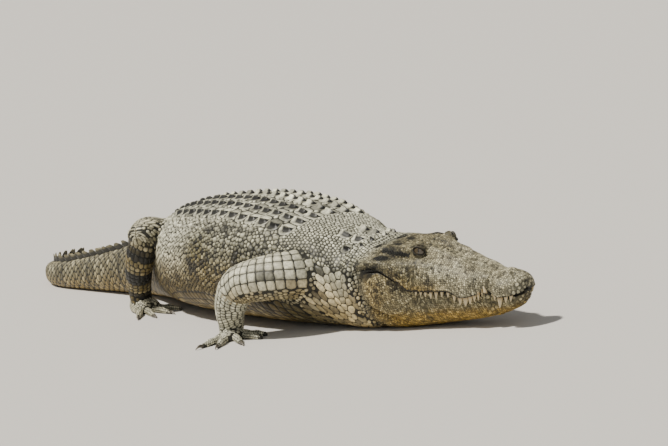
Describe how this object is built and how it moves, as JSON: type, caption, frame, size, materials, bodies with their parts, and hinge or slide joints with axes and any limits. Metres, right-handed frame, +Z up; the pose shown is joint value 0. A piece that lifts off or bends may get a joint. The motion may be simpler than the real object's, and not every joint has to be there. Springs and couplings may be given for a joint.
{
  "type": "saltwater crocodile figure",
  "caption": "Life-size saltwater crocodile at rest on its belly, mouth closed with teeth showing, legs spread at its sides and tail curled away behind it.",
  "frame": {"origin": "on the floor, under the middle of the animal's box", "axes": "+X along the trunk towards the head, +Y to the animal's left, +Z up"},
  "size_m": [3.548, 1.0512, 0.4188],
  "materials": {
    "head": "grey-olive bony skin of the head, finely wrinkled",
    "jaw": "lower jaw, grey above and tan below, with ivory teeth",
    "eye": "wet brown-olive eye",
    "hide": "scaly hide of neck and trunk, grey back and olive flank",
    "tail": "banded olive hide of the tail with grey blades",
    "limb": "scaly grey and tan hide of the legs and feet",
    "claw": "dark horn"
  },
  "bodies": {
    "root": {"head": "head", "jaw": "jaw", "eye_left": "eye", "eye_right": "eye", "neck": "hide", "trunk_shoulder": "hide", "trunk_middle": "hide", "trunk_loin": "hide", "trunk_hip": "hide", "tail_1": "tail", "tail_2": "tail", "tail_3": "tail", "tail_4": "tail", "tail_5": "tail", "tail_6": "tail", "tail_7": "tail", "tail_8": "tail", "arm_left": "limb", "arm_right": "limb", "leg_left": "limb", "leg_right": "limb", "hand_left": "limb", "hand_right": "limb", "foot_left": "limb", "foot_right": "limb", "claw_hand_left_1": "claw", "claw_hand_left_2": "claw", "claw_hand_left_3": "claw", "claw_hand_right_1": "claw", "claw_hand_right_2": "claw", "claw_hand_right_3": "claw", "claw_foot_left_1": "claw", "claw_foot_left_2": "claw", "claw_foot_left_3": "claw", "claw_foot_right_1": "claw", "claw_foot_right_2": "claw", "claw_foot_right_3": "claw"}
  },
  "joints": []
}
